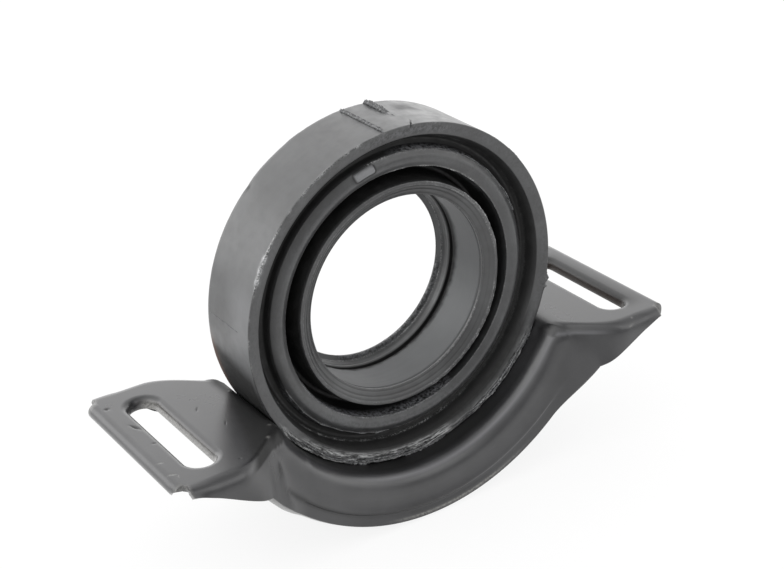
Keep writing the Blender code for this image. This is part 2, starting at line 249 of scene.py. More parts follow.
# Flash left where the mould halves met: (radius, depth, height, width, crumbliness, arcs of
# (start, end, amount) in degrees, anticlockwise from the right ear).
flashLines = [
    (53.82, 0.06, 0.24, 0.24, 0.9, [(104, 150, 0.9), (147, 160, 2.6), (160, 190, 0.4), (60, 104, 0.25)]),
    (48.75, 5.20, 0.16, 0.18, 0.6, [(0, 360, 0.15), (205, 300, 0.9), (60, 125, 0.6)]),
    (45.00, 3.60, 0.16, 0.20, 0.8, [(18, 104, 0.9), (204, 330, 0.9)]),
    (39.90, 3.40, 0.14, 0.18, 0.6, [(0, 360, 0.35), (38, 96, 0.9), (208, 275, 0.8)]),
    (35.45, 2.30, 0.20, 0.18, 0.7, [(0, 360, 0.2), (10, 75, 1.1), (285, 350, 1.0)]),
    (34.55, 2.12, 0.14, 0.16, 0.5, [(0, 360, 0.3), (10, 70, 0.5), (285, 350, 0.5)]),
    (31.05, 4.08, 0.08, 0.16, 0.8, [(0, 360, 0.15), (290, 345, 0.5)]),
    (30.35, 24.5, 0.12, 0.16, 0.5, [(0, 360, 0.9)]),
    (29.00, 25.2, 0.10, 0.30, 0.9, [(255, 350, 0.6)]),
    (53.80, 23.5, 0.16, 0.22, 0.9, [(108, 116, 1.5), (124, 132, 1.5), (136, 200, 0.3), (60, 100, 0.3)]),
]

# Fine grooves turned into the bevel of the hub mould: (radius, depth, drop, width, darkness of the painted
# shade in them).
hubLines = [
    (34.05, 2.40, 0.16, 0.20, 0.35), (32.90, 3.05, 0.14, 0.17, 0.70), (31.50, 3.83, 0.08, 0.15, 0.70),
]

# Other places on the section that need fine steps: the pad's edges and the nick in the front edge.
fineSpots = [(44.9, 2.9), (44.5, 2.5), (42.6, 2.1), (42.2, 2.2), (53.9, 0.9), (53.9, 2.0), (53.9, 3.1)]

# Angles that need closer steps: (middle, reach either way, steps).
closeAngles = [
    (84.9, 1.7, 18), (100.5, 0.6, 6), (109.7, 0.6, 6), (346.8, 0.9, 8), (286.0, 0.9, 8),
    (243.0, 30.0, 96), (311.0, 17.5, 58), (55.0, 33.0, 44), (105.1, 4.2, 10),
]
closestAngle = 0.18

# Nicks in the outside: (degrees, lean in degrees per mm, width in degrees, depth, reach, cut).
nicks = [(86.4, 0.7, 0.25, 1.2, 3.0, 0.8), (134.6, 0, 1.2, 22.6, 1.3, 0.35), (128.6, 0, 0.9, 18.5, 0.9, 0.2)]

# Burrs on the right edge and the rear lip, then scuffed blobs on the left of the front edge:
# (degrees, radius, depth, height, width in degrees, paleness of the specks, smear).
burrs = [
    (346.8, 53.8, 0.6, 1.1, 0.7, 0.3, 0.0), (349.5, 53.8, 0.6, 1.3, 0.9, 0.3, 0.0),
    (352.0, 53.8, 0.8, 0.7, 0.7, 0.3, 0.0), (286.0, 28.9, 24.6, 0.9, 0.7, 0.3, 0.0),
    (150.5, 53.7, 0.3, 0.4, 0.6, 1.6, 1.5), (153.2, 53.6, 0.5, 0.6, 0.9, 1.6, 1.5),
    (156.8, 53.7, 0.2, 0.5, 0.9, 1.6, 1.5),
]

# The blank raised pad on the ridge.
pad = {
    "degrees": 105.1, "radius": 43.5, "arcRadius": 43.6, "halfWidth": 1.1, "halfLength": 3.4,
    "corner": 0.7, "height": 0.45, "edge": 0.3, "lowest": 3.8,
}

# The torn band of flash along the bottom of the rim: where it starts, and how far it is pulled.
torn = {
    "inner": 50.6, "inset": 1.2, "deepest": 1.4, "stretch": (0.25, 1.6, 1.6), "offset": 0.12, "least": -0.3,
}

# Depth at which the painted shade of the grooves starts, and the run over which it comes in, by radius.
shadeFrom = ((35, 36, 39, 40, 42, 44.4, 45.6, 49.8), (2.5, 3.0, 4.0, 4.6, 5.0, 3.8, 3.2, 1.0))
shadeRun = ((35, 39, 46, 49.8), (0.6, 1.4, 1.2, 0.4))

# Ridges across the outside where the mould parted: (degrees, front, rear, height, width, taper,
# paleness of the painted highlight on the crest, seed).
partingRidges = [
    (95.9, -11.3, 11.5, 0.75, 0.50, 0.05, 0.55, 3), (95.1, -9.4, 11.3, 0.45, 0.36, 0.05, 0.10, 4),
    (86.6, -1.2, 11.8, 1.20, 0.80, 0.40, 0.45, 5), (85.2, 0.4, 11.6, 0.80, 0.62, 0.35, 0.15, 6),
    (85.8, -3.6, -0.8, 0.22, 0.45, 0.60, 0.05, 8), (175.8, -5.9, 10.4, 0.14, 0.16, 0.05, 0.20, 7),
]

# Strips of torn flash that follow the ring: (start, end, radius, y, lean in degrees from outward
# towards the front, height, width, paleness of the torn flash shown as a painted highlight on its crest,
# seed).
tornStrips = [
    (213, 333, 53.5, -11.6, 15, 0.80, 0.22, 0.80, 11), (217, 276, 53.0, -11.8, 55, 0.55, 0.20, 0.90, 12),
    (222, 270, 52.3, -11.7, 75, 0.40, 0.22, 0.80, 13), (292, 330, 53.0, -11.8, 50, 0.80, 0.24, 1.00, 14),
    (296, 328, 52.2, -11.7, 70, 0.60, 0.20, 1.00, 15), (204, 262, 45.1, -8.5, 60, 0.30, 0.16, 0.60, 16),
    (20, 90, 45.1, -8.5, 60, 0.26, 0.16, 0.55, 17), (206, 272, 39.9, -8.5, 120, 0.25, 0.15, 0.60, 18),
    (38, 58, 39.9, -8.5, 120, 0.30, 0.15, 0.60, 19), (342, 354, 53.6, -11.3, 20, 1.10, 0.25, 0.30, 20),
    (30, 62, 53.6, -11.5, 10, 0.18, 0.18, 0.35, 21),
]

# Bands where the skin tore into crumbs as the mould opened: (radius, depth, half width, arcs).
crumbBands = [
    (45.7, 4.5, 1.5, [(20, 90, 1.0), (204, 262, 0.75)]),
    (39.2, 5.0, 2.4, [(40, 57, 0.7), (208, 296, 1.0)]),
    (52.0, 0.6, 2.0, [(0, 360, 0.10), (70, 104, 0.35)]),
    (42.5, 2.0, 2.4, [(0, 360, 0.06), (225, 300, 0.15)]),
    (29.2, 24.6, 1.2, [(250, 350, 0.8)]),
]


def arcMask(degrees, start, end, soft=3.0):
    # 1 between start and end, fading over soft degrees
    middle, half = (start + end) / 2, (end - start) / 2
    away = np.abs((degrees - middle + 180) % 360 - 180)
    if half >= 180:
        return np.ones_like(degrees)
    return np.clip((half - away) / soft + 0.5, 0, 1)


def ripple(degrees, cycles, seed):
    # smooth repeatable noise round the ring, 0 to 1
    knots = np.random.default_rng(seed).random(cycles)
    place = (degrees % 360) / 360 * cycles
    low = np.floor(place).astype(int) % cycles
    t = place - np.floor(place)
    t = t * t * (3 - 2 * t)
    return knots[low] * (1 - t) + knots[(low + 1) % cycles] * t


def denseSection(outline, marks):
    # halves the steps of the section until they are short enough beside the flash lines
    points = []

    def halve(here, there):
        span = there - here
        near = 9.0
        for mark in marks:
            t = min(max((mark - here).dot(span) / max(span.length_squared, 1e-9), 0.0), 1.0)
            near = min(near, (here.lerp(there, t) - mark).length)
        limit = ringSizes["fineStep"] if near < 0.2 else 0.8 if near < 0.6 else ringSizes["longest"]
        if span.length > limit:
            middle = here.lerp(there, 0.5)
            halve(here, middle)
            halve(middle, there)
        else:
            points.append(here)

    for index, start in enumerate(outline):
        halve(start, outline[(index + 1) % len(outline)])
    return points


def sectionNormals(points):
    # outward direction of each point of the closed section
    p = np.array([tuple(q) for q in points])
    along = np.roll(p, -1, 0) - np.roll(p, 1, 0)
    out = np.stack([along[:, 1], -along[:, 0]], 1)
    area = np.sum(p[:, 0] * np.roll(p[:, 1], -1) - np.roll(p[:, 0], -1) * p[:, 1])
    out *= 1 if area > 0 else -1
    return p, out / np.linalg.norm(out, axis=1)[:, None]


def extraAngles(base):
    # closer steps where the moulding marks need them
    extra = [np.linspace(middle - reach, middle + reach, count) for middle, reach, count in closeAngles]
    merged = np.sort(np.concatenate([base] + extra))
    keep = [merged[0]]
    for value in merged[1:]:
        if value - keep[-1] > closestAngle:
            keep.append(value)
    return np.array(keep)


def roundedBox(across, along, halfAcross, halfAlong, corner):
    # distance outside a box with rounded corners, in mm
    a = np.maximum(np.abs(across) - halfAcross + corner, 0)
    b = np.maximum(np.abs(along) - halfAlong + corner, 0)
    return np.hypot(a, b) - corner


def buildRing():
    # angles run down the arrays and points of the section run across them
    s = SimpleNamespace(**ringSizes)
    marks = [Vector(line[:2]) for line in flashLines + hubLines + fineSpots]
    points, normal = sectionNormals(denseSection(filletedOutline(ringCorners()), marks))
    across, behind = points.T          # from the shaft axis, and back from the front face
    length = np.concatenate([[0], np.cumsum(np.linalg.norm(np.diff(points, axis=0), axis=1))])
    degrees = extraAngles(np.arange(s.turns) * 360 / s.turns)[:, None]
    rows, cols = len(degrees), len(points)
    print("ring section:", cols, "points,", rows, "steps round")
    turn = np.radians(degrees)
    depth = np.tile(behind, (rows, 1))
    lift = np.zeros((rows, cols))
    layers = {name: np.zeros((rows, cols)) for name in ("fleckAndHighlight", "smear", "torn", "crumb", "deep", "tint")}

    def addTo(name, values):
        layers[name] = np.maximum(layers[name], values)

    def arc(start, end, soft=3.0):
        return arcMask(degrees, start, end, soft)

    def away(r, d):
        return np.hypot(across - r, behind - d)

    for number, (r, d, height, width, crumbs, arcs) in enumerate(flashLines):
        along = length - length[np.argmin(away(r, d))]
        amount = sum(arc(start, end) * value for start, end, value in arcs)
        rough = 0.55 * ripple(degrees, 230, 11 + number) + 0.45 * ripple(degrees, 90, 31 + number)
        rough = (1 - crumbs) * 0.6 + crumbs * np.clip(rough * 2.2 - 0.6, 0, 1.4)
        lift += height * (amount * rough) * bell(along, width)
        addTo("fleckAndHighlight", np.clip(amount * rough * 0.8, 0, 1) * bell(along, width * 1.5))

    # painted shade along each fine groove, weaker on the right
    for r, d, drop, width, dark in hubLines:
        line = bell(away(r, d), width) * (1 - 0.7 * arc(325, 395, 30))
        lift -= drop * line
        addTo("deep", dark * line)

    for r, d, half, arcs in crumbBands:
        band = np.clip(1.4 - 1.4 * away(r, d) / half, 0, 1)
        addTo("crumb", np.max([arc(start, end, 8) * value for start, end, value in arcs], axis=0) * band)
    for j, i in zip(*np.nonzero(layers["crumb"] > 0.2)):
        q = Vector((across[i] * cos(turn[j, 0]), across[i] * sin(turn[j, 0]), behind[i])) * 1.5
        lift[j, i] += 0.13 * noise.noise(q) * layers["crumb"][j, i]

    inner = torn["inner"] + torn["inset"] * (arc(284, 340, 8) + arc(200, 226, 10))
    band = ramp(across, inner, 0.5) * (behind < torn["deepest"])
    force = np.maximum(arc(212, 288, 6), arc(296, 329, 5)) * (0.55 + 0.45 * ripple(degrees, 60, 5))
    force = np.maximum(force, 0.35 * arc(282, 300, 5))
    along, out, back = torn["stretch"]
    for j, i in zip(*np.nonzero((force > 0.01) & (band > 0))):
        q = Vector((turn[j, 0] * s.ring * along, across[i] * out, behind[i] * back))
        rough = 0.65 * noise.noise(q) + 0.35 * noise.noise(q * 2.3) + torn["offset"]
        pull = force[j, 0] * band[j, i]
        depth[j, i] -= max(rough, torn["least"]) * pull
        layers["torn"][j, i] = min(pull * 1.3, 1)

    onSide = across > s.ring - 1.2
    for middle, lean, width, d, reach, cut in nicks:
        hollow = bell(degrees - middle + lean * behind, width) * onSide
        hollow = hollow * np.clip(1 - np.abs(behind - d) / reach, 0, 1)
        lift -= cut * hollow
        # painted shade in the nick
        addTo("deep", 0.9 * hollow)

    # the pad stands up out of a line of painted shade round its foot
    along = (turn - radians(pad["degrees"])) * pad["arcRadius"]
    beside = roundedBox(across - pad["radius"], along, pad["halfWidth"], pad["halfLength"], pad["corner"])
    beside = beside + 9.0 * (behind > pad["lowest"])
    lift += pad["height"] * ramp(beside, 0, -pad["edge"])
    addTo("smear", ramp(beside, 0, -pad["edge"]))
    addTo("deep", 0.9 * bell(beside - pad["edge"], pad["edge"]))

    for middle, r, d, high, wide, pale, smear in burrs:
        spot = bell(degrees - middle, wide) * bell(away(r, d), 0.7)
        lift += high * spot
        addTo("fleckAndHighlight", spot * pale)
        addTo("smear", spot * smear)

    # the outside is never perfectly round: slow hollows of a few hundredths
    outside = across > s.ring - 0.05
    stops = (0, 8, 16, 24)
    slow = [[noise.noise(Vector((cos(a) * 2.2, sin(a) * 2.2, d * 0.09))) for d in stops] for a in turn[:, 0]]
    lift += 0.07 * np.array([np.interp(behind, stops, row) for row in slow]) * outside
    # a handling mark on top, painted shade low on the left beside the ear, a pale patch low on the left,
    # brown rust at the rear edge
    patch = np.hypot((degrees - 77.5) / 5.5, (behind - 15.5) / 3.4)
    addTo("deep", 0.55 * np.clip(2.0 - 2.0 * patch, 0, 1) * outside)
    # painted shade low on the left, beside the ear
    low = ramp(degrees + 0.25 * (behind - 12), 186, 5) * (degrees < 240)
    addTo("deep", low * outside * ramp(behind, 0.8, 2))
    addTo("smear", 0.45 * arc(162, 188, 8) * outside * ramp(behind, 14, -8))
    addTo("tint", 0.7 * arc(184, 203, 6) * ramp(behind, 20.0, 3) * outside)

    radius = across + lift * normal[:, 0]
    depth = depth + lift * normal[:, 1]
    # painted shade takes the grooves almost to black with depth, and darkens the ridge's outer slope, the
    # rim's low groove wall and the corner behind the sleeve; the outer faces a grey bloom
    start, run = (np.interp(across, *table) for table in (shadeFrom, shadeRun))
    grooveShade = ramp(depth, start, run) * (across < 50.1) * (across > 35.2)
    # painted shade on the ridge's outer slope, on the left and at the bottom
    slope = ramp(across, 43.0, 1.8) * (across < 46) * (behind < 6)
    grooveShade = np.maximum(grooveShade, 0.5 * slope * arc(108, 290, 20))
    # painted shade on the rim's groove wall at the bottom
    lowRimShade = ramp(across, 50.7, -0.3) * (across > 48.5)
    grooveShade = np.maximum(grooveShade, lowRimShade * arc(222, 338, 15))
    # the grooves' painted shade, with painted shade in the corner behind the sleeve's rear end
    addTo("deep", np.maximum(grooveShade, ramp(behind, 20.2, 0.4) * (across > 31.1) * (across < 33)))

    verts = np.stack([radius * np.cos(turn), depth - s.width / 2, radius * np.sin(turn)], 2)
    wrap = np.stack([turn * s.ring + 0 * depth, radius, depth], 2).reshape(-1, 3).tolist()
    verts = verts.reshape(-1, 3).tolist()
    faces = []
    for j in range(rows):
        here, there = j * cols, (j + 1) % rows * cols
        for i in range(cols):
            after = (i + 1) % cols
            faces.append((here + i, here + after, there + after, there + i))
    layers = {name: values.ravel().tolist() for name, values in layers.items()}
    for fin in [acrossFin(*ridge) for ridge in partingRidges] + [rimFin(*strip) for strip in tornStrips]:
        addFin(verts, faces, layers, wrap, *fin)
    data = bpy.data.meshes.new("rubberRing")
    data.from_pydata(verts, [], faces)
    for name, values in layers.items():
        layer = data.attributes.new(name, "FLOAT", "POINT")
        layer.data.foreach_set("value", np.clip(np.array(values, dtype=np.float32), 0, 1))
    layer = data.attributes.new("wrap", "FLOAT_VECTOR", "POINT")
    layer.data.foreach_set("vector", np.array(wrap, dtype=np.float32).ravel())
    fixNormals(data)
    data.shade_smooth()
    return data


# Cross-section of a fin: (across, up, paleness, darkness); the paleness is a painted highlight on the crest
# and one flank, the darkness painted shade on the other flank and at the feet.
finShape = (
    (-1.0, -0.25, 0.0, 0.9), (-0.55, 0.6, 0.1, 0.6), (0.05, 1.0, 1.0, 0.0), (0.5, 0.55, 0.5, 0.3),
    (1.0, -0.25, 0.0, 0.9),
)


def addFin(verts, faces, layers, wrap, base, out, side, height, width, light):
    # a ragged ridge: one closed strip with its foot sunk in the rubber
    start = len(verts)
    size = len(finShape)
    for b, o, d, h, w, l in zip(base, out, side, height, width, light):
        for across, up, bright, dark in finShape:
            rise = up * h if up > 0 else -0.15
            verts.append((b + d * across * w + o * rise).tolist())
            wrap.append([float(b[0] - b[2]), float(across * w), float(rise)])
            # painted highlight on the crest and one flank, painted shade on the other flank and at the feet
            values = {"fleckAndHighlight": l * bright, "smear": 0.15 + 0.5 * l * bright, "deep": dark, "crumb": 0.4}
            for name in layers:
                layers[name].append(values.get(name, 0.0))
    for first in range(start, len(verts) - size, size):
        for i in range(size):
            after = (i + 1) % size
            faces.append((first + i, first + after, first + size + after, first + size + i))
    faces.append(tuple(range(start + size - 1, start - 1, -1)))
    faces.append(tuple(range(len(verts) - size, len(verts))))


def acrossFin(degrees, front, rear, height, width, taper, light, seed, step=0.30):
    # a parting ridge that runs across the outside of the ring, from front to rear
    count = int((rear - front) / step)
    t = np.linspace(0, 1, count)
    rng = np.random.default_rng(seed)
    angle = np.radians(degrees + rng.normal(0, 0.05, count))
    out = np.stack([np.cos(angle), 0 * angle, np.sin(angle)], 1)
    side = np.stack([-np.sin(angle), 0 * angle, np.cos(angle)], 1)
    base = out * (ringSizes["ring"] - 0.03) + np.stack([0 * t, front + (rear - front) * t, 0 * t], 1)
    ends = np.clip(t / taper, 0.05, 1) * np.clip((1 - t) / 0.03, 0.3, 1)
    high = height * (0.55 + 0.75 * rng.random(count)) * ends
    wide = width * (0.75 + 0.4 * rng.random(count)) * np.clip(ends + 0.3, 0, 1)
    return base, out, side, high, wide, light * rng.random(count)


def rimFin(start, end, radius, y, lean, height, width, light, seed, step=0.38):
    # torn flash that follows the rim; it leans from outward towards the front
    count = int((end - start) / step)
    rng = np.random.default_rng(seed)
    angle = np.radians(np.linspace(start, end, count))
    radial = np.stack([np.cos(angle), 0 * angle, np.sin(angle)], 1)
    tilt = np.radians(lean + rng.normal(0, 14, count))[:, None]
    front = np.array([0.0, -1.0, 0.0])
    out = radial * np.cos(tilt) + front * np.sin(tilt)
    side = radial * -np.sin(tilt) + front * np.cos(tilt)
    number = np.arange(count)
    knots = np.arange(0, count + 9, 9)
    slow = np.interp(number, knots, rng.random(len(knots)))
    rough = np.clip(slow * 1.7 - 0.35, 0, 1) * (0.45 + 0.75 * rng.random(count))
    fade = np.clip(np.minimum(number, count - 1 - number) / 8, 0, 1)
    base = radial * (radius + 0.25 * (slow[:, None] - 0.5)) + front * (-y)
    high = 0.06 + height * rough * fade
    return base, out, side, high, width * (0.6 + 0.6 * rng.random(count)), light * rough


def fixNormals(data):
    work = bmesh.new()
    work.from_mesh(data)
    bmesh.ops.recalc_face_normals(work, faces=work.faces)
    work.to_mesh(data)
    work.free()


# Black moulded rubber: a satin skin with a faint grey bloom on the outside, pale crumbs
# where flash was torn off, and painted shade that takes the grooves almost to black.
rubberLook = {
    "deep": "#080808", "skin": "#262627", "bloom": "#373839", "smear": "#6d6e70", "torn": "#b0b1b1",
    "crumb": "#66676a", "tint": "#5b4236",
    "roughness": (0.28, 0.44), "ior": 1.52, "grainDepth": 0.12, "pitDepth": 0.9,      # depths in mm
    "film": 0.6, "filmRoughness": 0.38,                   # the thin skin of mould release
    "grains": {                                           # mm; the real grain is finer than a pixel
        "cloud": (14.0, 3.0, 0.55), "scuff": (3.0, 2.0, 0.5), "grain": (0.6, 3.0, 0.6),
        "speck": (0.5, 4.0, 0.7), "crumb": (0.9, 4.0, 0.6),
    },
    "combed": {                                           # noises drawn out round the ring
        "strand": ((0.24, 1.7, 1.7), 4.0, 0.65), "wipe": ((0.22, 0.22, 0.03), 3.0, 0.6),
    },
    "ranges": {"cloud": (0.55, 0.95), "crumb": (0.42, 0.56), "strand": (0.42, 0.64), "speck": (0.46, 0.60)},
}


def rubberMaterial():
    look = rubberLook
    made, add = newMaterial("mouldedRubber")
    _, mark, grain = readSurface(add, ("deep", "fleckAndHighlight", "smear", "torn", "crumb", "tint"), look["grains"])
    wrap = add("Attribute", give="Vector", attribute_name="wrap")
    for key, (stretch, detail, rough) in look["combed"].items():
        drawn = add("Mapping", {"Vector": wrap, "Scale": stretch})
        inputs = {"Vector": drawn, "Scale": 1.0, "Detail": detail, "Roughness": rough}
        grain[key] = add("TexNoise", inputs)
    inputs = {0: grain["wipe"], 1: 0.5, 2: grain["cloud"]}
    grain["cloud"] = add("Math", inputs, operation="MULTIPLY_ADD")
    clear = {}
    for key, (low, high) in look["ranges"].items():
        clear[key] = add("MapRange", {"Value": grain[key], "From Min": low, "From Max": high})
    flecked = add("Math", {0: mark["fleckAndHighlight"], 1: clear["speck"]}, operation="MULTIPLY")
    blends = (("crumb", "deep", "crumb"), ("strand", "deep", "torn"), ("cloud", "skin", "bloom"))
    crumbs, strands, colour = (
        add("Mix", {0: clear[key], 6: look[low], 7: look[high]}, give=2, data_type="RGBA")
        for key, low, high in blends)
    # painted shade from the deep layer, then tint, smear, crumbs, torn strands, and pale flecks with the
    # fins' painted highlight
    for share, value in ((mark["deep"], look["deep"]), (mark["tint"], look["tint"]),
                         (mark["smear"], look["smear"]), (mark["crumb"], crumbs),
                         (mark["torn"], strands), (flecked, look["torn"])):
        colour = add("Mix", {0: share, 6: colour, 7: value}, give=2, data_type="RGBA")

    inputs = {0: grain["grain"], 1: 0.3, 2: grain["scuff"]}
    height = add("Math", inputs, operation="MULTIPLY_ADD")
    bump = add("Bump", {"Strength": 0.3, "Distance": look["grainDepth"] * mm, "Height": height})
    ragged = add("Math", {0: mark["crumb"], 1: mark["torn"]}, operation="MAXIMUM")
    pitted = add("Math", {0: grain["crumb"], 1: ragged}, operation="MULTIPLY")
    inputs = {"Strength": 0.9, "Distance": look["pitDepth"] * mm, "Height": pitted, "Normal": bump}
    bump = add("Bump", inputs)
    least, most = look["roughness"]
    inputs = {"Value": grain["scuff"], "From Min": 0.3, "From Max": 0.7, "To Min": least, "To Max": most}
    gloss = add("MapRange", inputs)
    for share, more in ((flecked, 0.35), (mark["deep"], 0.25)):
        gloss = add("Math", {0: share, 1: more, 2: gloss}, operation="MULTIPLY_ADD")
    dull = add("Math", {0: mark["deep"], 1: ragged}, operation="MAXIMUM")
    film = add("Math", {0: dull, 1: -look["film"], 2: look["film"]}, operation="MULTIPLY_ADD")
    surface = add("BsdfPrincipled", {
        "Base Color": colour, "Roughness": gloss, "IOR": look["ior"], "Metallic": 0.0,
        "Coat Weight": film, "Coat Roughness": look["filmRoughness"], "Normal": bump})
    add("OutputMaterial", {"Surface": surface})
    return made


rubberRing = newPiece("rubberRing", buildRing(), [rubberMaterial()], "rubber_ring")
print("rubber ring:", len(rubberRing.data.polygons), "faces")


sleeveSizes = {
    "bore": 31.0, "wall": 1.3, "front": 5.1, "length": 14.8, "lead": 0.5, "turns": 240, "bands": 20,
    # painted shade over the rear end of the bore
    "smudge": 1.6, "smudgeMiddle": 25,     # reach in mm, and where round the sleeve it is longest
}


def buildSleeve():
    s = SimpleNamespace(**sleeveSizes)
    back = s.front + s.length
    inside = [(s.bore, s.front + s.lead, 0.3)]
    inside += [(s.bore, s.front + s.length * i / s.bands, 0.0) for i in range(1, s.bands)]
    inside += [(s.bore, back - s.lead, 0.3)]
    section = filletedOutline([(s.bore + s.lead, s.front, 0.15)] + inside + [
        (s.bore + s.lead, back, 0.15), (s.bore + s.wall, back, 0.1),
        (s.bore + s.wall, s.front, 0.1)], 3)
    work = bmesh.new()
    smudge = work.verts.layers.float.new("smudge")
    ring = [work.verts.new((p.x, p.y - ringSizes["width"] / 2, 0)) for p in section]
    edges = [work.edges.new((ring[i - 1], ring[i])) for i in range(len(ring))]
    bmesh.ops.spin(work, geom=ring + edges, cent=(0, 0, 0), axis=(0, 1, 0), angle=2 * pi, steps=s.turns,
                   use_merge=True)
    bmesh.ops.recalc_face_normals(work, faces=work.faces)
    end = back - ringSizes["width"] / 2
    # painted shade at the rear end, reaching further towards one side
    for vert in work.verts:
        wander = noise.noise(vert.co * 0.35) * 0.6 + noise.noise(vert.co * 1.3) * 0.3
        longer = max(cos(atan2(vert.co.z, vert.co.x) - radians(s.smudgeMiddle)), 0) ** 2
        reach = s.smudge * (1 + 1.5 * longer)
        vert[smudge] = unit(1.7 * (vert.co.y - end + reach + wander) / reach)
    data = closeMesh(work, "bearingSleeve")
    data.set_sharp_from_angle(angle=radians(40))
    return data


# Phosphated steel tube: dark grey and satin, with the faint rings that turning leaves and
# painted shade over its rear end.
steelLook = {
    "dark": "#505152", "light": "#5d5e5f", "smudge": "#0c0c0d", "roughness": (0.40, 0.56),
    "metallic": 0.45,
    "ringSpacing": 0.5, "ringDepth": 0.02, "grains": {"cloud": (9.0, 4.0, 0.5)},      # mm
}


def steelMaterial():
    look = steelLook
    made, add = newMaterial("phosphatedSteel")
    place, mark, grain = readSurface(add, ("smudge",), look["grains"])
    smudge = mark["smudge"]
    colour = add("Mix", {0: grain["cloud"], 6: look["dark"], 7: look["light"]}, give=2, data_type="RGBA")
    # painted shade at the rear end
    colour = add("Mix", {0: smudge, 6: colour, 7: look["smudge"]}, give=2, data_type="RGBA")
    squashed = add("Mapping", {"Vector": place, "Scale": (0.02, 1.0, 0.02)})
    inputs = {"Vector": squashed, "Scale": 1 / (look["ringSpacing"] * mm), "Detail": 3.0}
    turning = add("TexNoise", inputs)
    bump = add("Bump", {"Strength": 0.12, "Distance": look["ringDepth"] * mm, "Height": turning})
    least, most = look["roughness"]
    gloss = add("MapRange", {"Value": turning, "To Min": least, "To Max": most})
    gloss = add("Math", {0: smudge, 1: 0.35, 2: gloss}, operation="MULTIPLY_ADD")
    inputs = {0: smudge, 1: -look["metallic"], 2: look["metallic"]}
    metal = add("Math", inputs, operation="MULTIPLY_ADD")
    inputs = {"Base Color": colour, "Roughness": gloss, "Metallic": metal, "Normal": bump}
    add("OutputMaterial", {"Surface": add("BsdfPrincipled", inputs)})
    return made


bearingSleeve = newPiece("bearingSleeve", buildSleeve(), [steelMaterial()],
                         "bearing_sleeve")
print("bearing sleeve:", len(bearingSleeve.data.polygons), "faces")


cradleSizes = {
    "sheet": 2.0, "webRadius": 54.2, "webWidth": 32.0, "saddleBend": 6.2, "flange": 14.5,
    "crease": 10.8, "creaseWidth": 0.7, "creaseStep": 0.6, "creaseOut": 1.4, "lipOut": 2.1, "lipSpread": 1.2,
    "earDrop": 22.9, "earLength": 36.4, "earFlat": 56.2, "earBend": 4.0, "earFlank": 18.4, "fold": 4.1,
    "sideRoll": 2.6, "sideTurn": 160, "rollSteps": 14, "cornerFlange": 2.2, "skirt": 12.4, "kink": 8.6,
    "slotInset": 13.0, "slotLand": 3.0, "slotWidth": 8.8, "slotLength": 43.0,
    "collarRadius": 2.1, "collarHeight": 3.6, "neckSpread": 1.6, "lipLag": 0.14, "wallRun": 3.5,
    "edgeRun": 8.0,
    "edgeRound": 0.22,     # rounding of the sheared edges
}
cradleSteps = {
    "saddle": 60, "neck": 10, "ear": 18, "skirt": 24, "side": 14, "web": 8, "bend": 10, "wall": 22,
    "collar": 7, "land": 6,
}
# At each corner (side, front or back): how far the skirt stops short of the rolled edge, the
# roll short of the skirt, how far the skirt's end leans back, and the turn and extra drop of
# the roll there. Only at the left front corner does the roll open out into a notch.
cradleCorners = {
    (-1, 1): {"gap": 0.9, "step": 1.0, "lean": 0.3, "turn": 62, "hang": 0.0},
    (-1, -1): {"gap": 0.5, "step": 0.8, "lean": 0.0, "turn": 160, "hang": 0.0},
    (1, 1): {"gap": 1.5, "step": 0.6, "lean": 0.0, "turn": 160, "hang": 0.9},
    (1, -1): {"gap": 1.5, "step": 0.8, "lean": 0.0, "turn": 160, "hang": 0.0},
}

c = SimpleNamespace(**cradleSizes)
n = SimpleNamespace(**cradleSteps)
earTop = -c.earDrop
neckAngle = acos((c.earDrop + c.earBend) / (c.webRadius + c.earBend))
neckEnd = (c.webRadius + c.earBend) * sin(neckAngle)
neckCorner = (c.webRadius + c.saddleBend) * sin(neckAngle)
earEdge = neckEnd + c.earLength
widensAt = neckEnd + c.earFlank
skirtEnd = neckEnd + c.kink
sideX = earEdge - c.sideRoll
slotX = earEdge - c.slotInset
slotHalf = c.slotWidth / 2
halfWeb = c.webWidth / 2
earHalf = c.earFlat / 2
lipRadius = c.webRadius + c.flange
spreadRadius = lipRadius + c.lipSpread
sideways = Vector((1, 0, 0))
forwards = Vector((0, -1, 0))
downwards = Vector((0, 0, -1))


def bendPoints(start, along, end, down, steps):
    # points after start on a curve that leaves along one direction and ends down another
    span = end - start
    first = start + along * max(span.dot(along), 0.2) * 0.5523
    last = end - down * max(span.dot(down), 0.2) * 0.5523
    points = []
    for step in range(1, steps + 1):
        t = step / steps
        s = 1 - t
        points.append(s ** 3 * start + 3 * s * s * t * first + 3 * s * t * t * last + t ** 3 * end)
    return points


def earHalfWidth(x):
    return halfWeb + (earHalf - halfWeb) * sin(unit((x - neckEnd) / (widensAt - neckEnd)) * pi / 2)


def earFront(x):
    return Vector((x, -earHalfWidth(x), earTop))


def earOutward(x):
    slope = (earHalfWidth(x + 0.01) - earHalfWidth(x - 0.01)) / 0.02
    return Vector((-slope, -1, 0)).normalized()


def wallOffset(x):
    near = halfWeb + c.saddleBend
    start = neckCorner - c.wallRun
    return near + (earHalf + c.fold - near) * eased((x - start) / (widensAt - start))


def edgeOffset(x):
    near = halfWeb + c.saddleBend + c.lipOut
    start = neckCorner - c.edgeRun
    end = widensAt - c.wallRun
    return near + (earHalf + c.fold - near) * eased((x - start) / (end - start))


def lipPoint(angle):
    radius = lipRadius + c.lipSpread * min(angle / asin(skirtEnd / spreadRadius), 1.0) ** 4
    return Vector((radius * sin(angle), -edgeOffset(radius * sin(angle)), -radius * cos(angle)))


